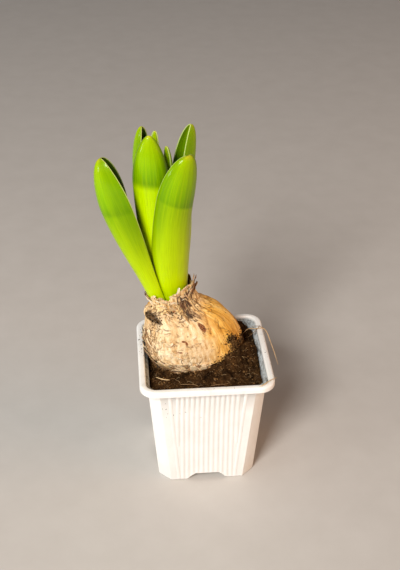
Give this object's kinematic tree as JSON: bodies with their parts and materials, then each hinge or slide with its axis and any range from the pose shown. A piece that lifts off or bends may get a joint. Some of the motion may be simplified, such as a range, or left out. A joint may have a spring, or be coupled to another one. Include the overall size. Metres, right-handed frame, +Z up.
{
  "type": "potted hyacinth plant",
  "caption": "Hyacinth bulb half out of dark soil in a square ribbed nursery pot, with a tight bunch of thick hooded green leaves and no flower.",
  "frame": {"origin": "centre of the footprint's bounding box, on the plane that the pot's four feet stand on", "axes": "+Z up, along the leaves; -Y towards the side of the pot that faces the viewer; +X to the viewer's right, away from the side that the bulb leans to"},
  "size_m": [0.0992, 0.08, 0.2181],
  "materials": {
    "white_plastic": "smooth semi-matt white plastic",
    "peat_soil": "crumbly dark peat",
    "bulb_tunic": "dry papery tunic",
    "leaf_green": "glossy fleshy leaf"
  },
  "bodies": {
    "root": {"pot": "white_plastic", "soil": "peat_soil", "bulb": "bulb_tunic", "leaf_left": "leaf_green", "leaf_front": "leaf_green", "leaf_middle": "leaf_green", "leaf_right_back": "leaf_green", "leaf_left_back": "leaf_green", "leaf_inner_back": "leaf_green", "leaf_inner_right": "leaf_green"}
  },
  "joints": []
}
